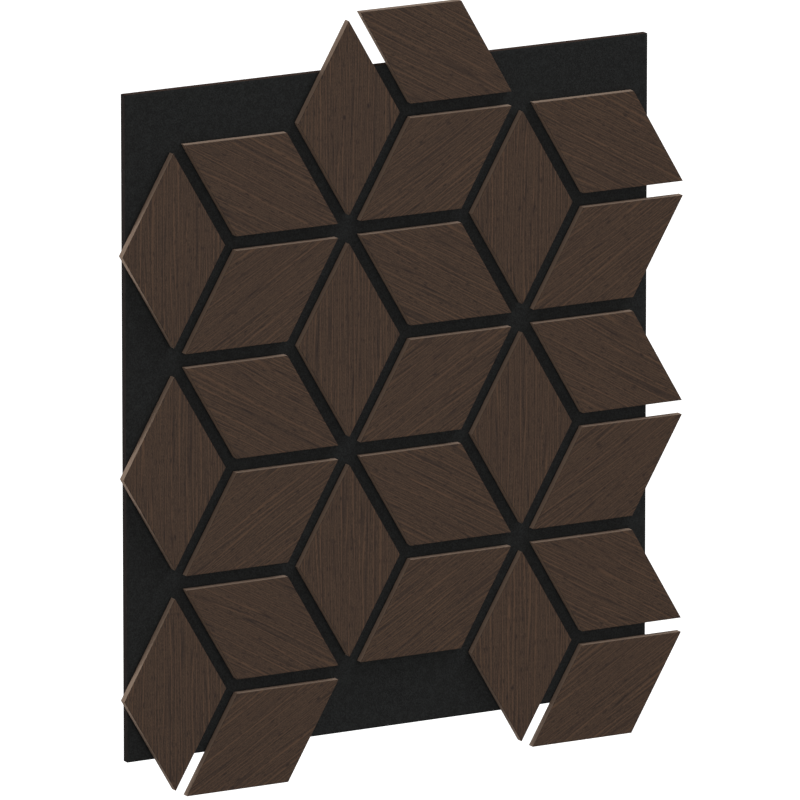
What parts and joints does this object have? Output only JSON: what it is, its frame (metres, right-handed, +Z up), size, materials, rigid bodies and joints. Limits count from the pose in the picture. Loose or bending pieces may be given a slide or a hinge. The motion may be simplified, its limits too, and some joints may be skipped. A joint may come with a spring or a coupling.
{
  "type": "tiled wall panel",
  "caption": "Flat wall panel of rhombic wood-veneered tiles glued to a black felt board in a tumbling-blocks pattern, for lining a wall and damping sound.",
  "frame": {"origin": "centre of the felt board's back face, which lies against the wall", "axes": "+Y into the wall, so the tiles look towards -Y; +Z up the panel; +X to the right of someone who faces the panel"},
  "size_m": [0.645, 0.0179, 0.7933],
  "materials": {
    "felt": "matt black needled polyester felt, pressed into a board",
    "veneer": "dark brown straight-grained veneer with a matt lacquer, grain along the long diagonal, raw greige edges"
  },
  "bodies": {
    "root": {"felt_backing": "felt", "upright_tile_column1_row1": "veneer", "upright_tile_column1_row2": "veneer", "upright_tile_column1_row3": "veneer", "upright_tile_column2_row1": "veneer", "upright_tile_column2_row2": "veneer", "upright_tile_column2_row3": "veneer", "upright_tile_column3_row1": "veneer", "upright_tile_column3_row2": "veneer", "upright_tile_column3_row3": "veneer", "upper_tile_column1_row1": "veneer", "upper_tile_column1_row2": "veneer", "upper_tile_column1_row3": "veneer", "upper_tile_column2_row1": "veneer", "upper_tile_column2_row2": "veneer", "upper_tile_column2_row3": "veneer", "upper_tile_column3_row1": "veneer", "upper_tile_column3_row2": "veneer", "upper_tile_column3_row3": "veneer", "lower_tile_column1_row1": "veneer", "lower_tile_column1_row2": "veneer", "lower_tile_column1_row3": "veneer", "lower_tile_column2_row1": "veneer", "lower_tile_column2_row2": "veneer", "lower_tile_column2_row3": "veneer", "lower_tile_column3_row1": "veneer", "lower_tile_column3_row2": "veneer", "lower_tile_column3_row3": "veneer"}
  },
  "joints": []
}
